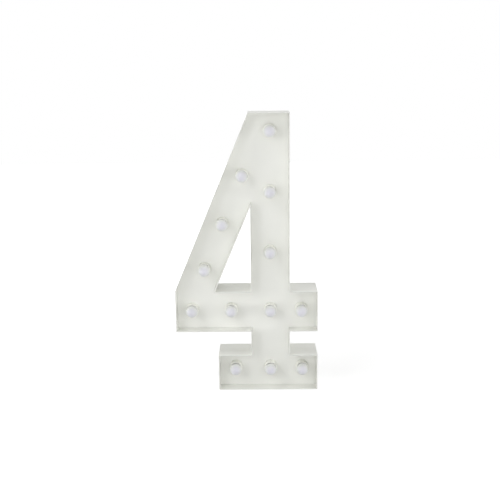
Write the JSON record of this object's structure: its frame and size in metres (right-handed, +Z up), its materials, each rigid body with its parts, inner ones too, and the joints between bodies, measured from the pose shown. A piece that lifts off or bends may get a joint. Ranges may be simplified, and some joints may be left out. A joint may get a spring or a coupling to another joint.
{
  "type": "light up marquee number",
  "caption": "Free-standing light-up numeral four: an open-fronted tray of painted boards in the numeral's outline, with globe bulbs on a set-back panel and a power inlet in its rear cover.",
  "frame": {"origin": "middle of the bounding box's bottom face, on the surface that the numeral stands on", "axes": "+Z up, -Y out of the open front where the bulbs show, +X to the right as a reader sees the numeral"},
  "size_m": [0.5096, 0.1516, 1],
  "materials": {
    "painted_board": "white satin paint on smooth fibreboard",
    "softwood": "planed bare softwood",
    "milky_globe": "smooth milky globe with a bright metal screw cap",
    "white_plastic": "satin moulded plastic",
    "black_plastic": "satin moulded plastic",
    "cable_sheath": "soft white sheath"
  },
  "bodies": {
    "tray": {"wall_foot_bottom": "painted_board", "wall_foot_right": "painted_board", "wall_foot_top_right": "painted_board", "wall_neck_right": "painted_board", "wall_bar_under_right": "painted_board", "wall_bar_right": "painted_board", "wall_bar_top_right": "painted_board", "wall_stem_right": "painted_board", "wall_top": "painted_board", "wall_diagonal": "painted_board", "wall_bar_left": "painted_board", "wall_bar_under_left": "painted_board", "wall_neck_left": "painted_board", "wall_foot_top_left": "painted_board", "wall_foot_left": "painted_board", "wall_counter_diagonal": "painted_board", "wall_counter_stem": "painted_board", "wall_counter_bar": "painted_board", "face_panel": "painted_board", "rear_cover": "painted_board", "lampholder_foot_left": "white_plastic", "lampholder_foot_middle": "white_plastic", "lampholder_foot_right": "white_plastic", "lampholder_bar_right": "white_plastic", "lampholder_bar_middle": "white_plastic", "lampholder_bar_inner_left": "white_plastic", "lampholder_bar_left": "white_plastic", "lampholder_diagonal_lower": "white_plastic", "lampholder_diagonal_middle": "white_plastic", "lampholder_diagonal_upper": "white_plastic", "lampholder_top": "white_plastic", "lampholder_stem_upper": "white_plastic", "lampholder_stem_lower": "white_plastic", "block_foot_bottom_corner": "softwood", "block_foot_right_corner": "softwood", "block_foot_top_right_corner": "softwood", "block_foot_left_corner": "softwood", "block_bar_right_corner": "softwood", "block_bar_top_right_corner": "softwood", "block_bar_under_left_corner": "softwood", "block_stem_right": "softwood", "block_top_corner": "softwood", "block_diagonal": "softwood", "wiring_cable": "cable_sheath", "power_inlet": "black_plastic"},
    "bulb_foot_left": {"bulb_foot_left": "milky_globe"},
    "bulb_foot_middle": {"bulb_foot_middle": "milky_globe"},
    "bulb_foot_right": {"bulb_foot_right": "milky_globe"},
    "bulb_bar_right": {"bulb_bar_right": "milky_globe"},
    "bulb_bar_middle": {"bulb_bar_middle": "milky_globe"},
    "bulb_bar_inner_left": {"bulb_bar_inner_left": "milky_globe"},
    "bulb_bar_left": {"bulb_bar_left": "milky_globe"},
    "bulb_diagonal_lower": {"bulb_diagonal_lower": "milky_globe"},
    "bulb_diagonal_middle": {"bulb_diagonal_middle": "milky_globe"},
    "bulb_diagonal_upper": {"bulb_diagonal_upper": "milky_globe"},
    "bulb_top": {"bulb_top": "milky_globe"},
    "bulb_stem_upper": {"bulb_stem_upper": "milky_globe"},
    "bulb_stem_lower": {"bulb_stem_lower": "milky_globe"},
    "switch_rocker": {"switch_rocker": "black_plastic"}
  },
  "joints": [
    {"name": "bulb_foot_left_out", "type": "slide", "parent": "tray", "child": "bulb_foot_left", "axis": [0, -1, 0], "range_m": [0, 0.06]},
    {"name": "bulb_foot_middle_out", "type": "slide", "parent": "tray", "child": "bulb_foot_middle", "axis": [0, -1, 0], "range_m": [0, 0.06]},
    {"name": "bulb_foot_right_out", "type": "slide", "parent": "tray", "child": "bulb_foot_right", "axis": [0, -1, 0], "range_m": [0, 0.06]},
    {"name": "bulb_bar_right_out", "type": "slide", "parent": "tray", "child": "bulb_bar_right", "axis": [0, -1, 0], "range_m": [0, 0.06]},
    {"name": "bulb_bar_middle_out", "type": "slide", "parent": "tray", "child": "bulb_bar_middle", "axis": [0, -1, 0], "range_m": [0, 0.06]},
    {"name": "bulb_bar_inner_left_out", "type": "slide", "parent": "tray", "child": "bulb_bar_inner_left", "axis": [0, -1, 0], "range_m": [0, 0.06]},
    {"name": "bulb_bar_left_out", "type": "slide", "parent": "tray", "child": "bulb_bar_left", "axis": [0, -1, 0], "range_m": [0, 0.06]},
    {"name": "bulb_diagonal_lower_out", "type": "slide", "parent": "tray", "child": "bulb_diagonal_lower", "axis": [0, -1, 0], "range_m": [0, 0.06]},
    {"name": "bulb_diagonal_middle_out", "type": "slide", "parent": "tray", "child": "bulb_diagonal_middle", "axis": [0, -1, 0], "range_m": [0, 0.06]},
    {"name": "bulb_diagonal_upper_out", "type": "slide", "parent": "tray", "child": "bulb_diagonal_upper", "axis": [0, -1, 0], "range_m": [0, 0.06]},
    {"name": "bulb_top_out", "type": "slide", "parent": "tray", "child": "bulb_top", "axis": [0, -1, 0], "range_m": [0, 0.06]},
    {"name": "bulb_stem_upper_out", "type": "slide", "parent": "tray", "child": "bulb_stem_upper", "axis": [0, -1, 0], "range_m": [0, 0.06]},
    {"name": "bulb_stem_lower_out", "type": "slide", "parent": "tray", "child": "bulb_stem_lower", "axis": [0, -1, 0], "range_m": [0, 0.06]},
    {"name": "switch_rocker_tilt", "type": "hinge", "parent": "tray", "child": "switch_rocker", "pos_m": [-0.07865, 0.06757, 0.07645], "axis": [0, 0, -1], "range_deg": [0, 14]}
  ]
}
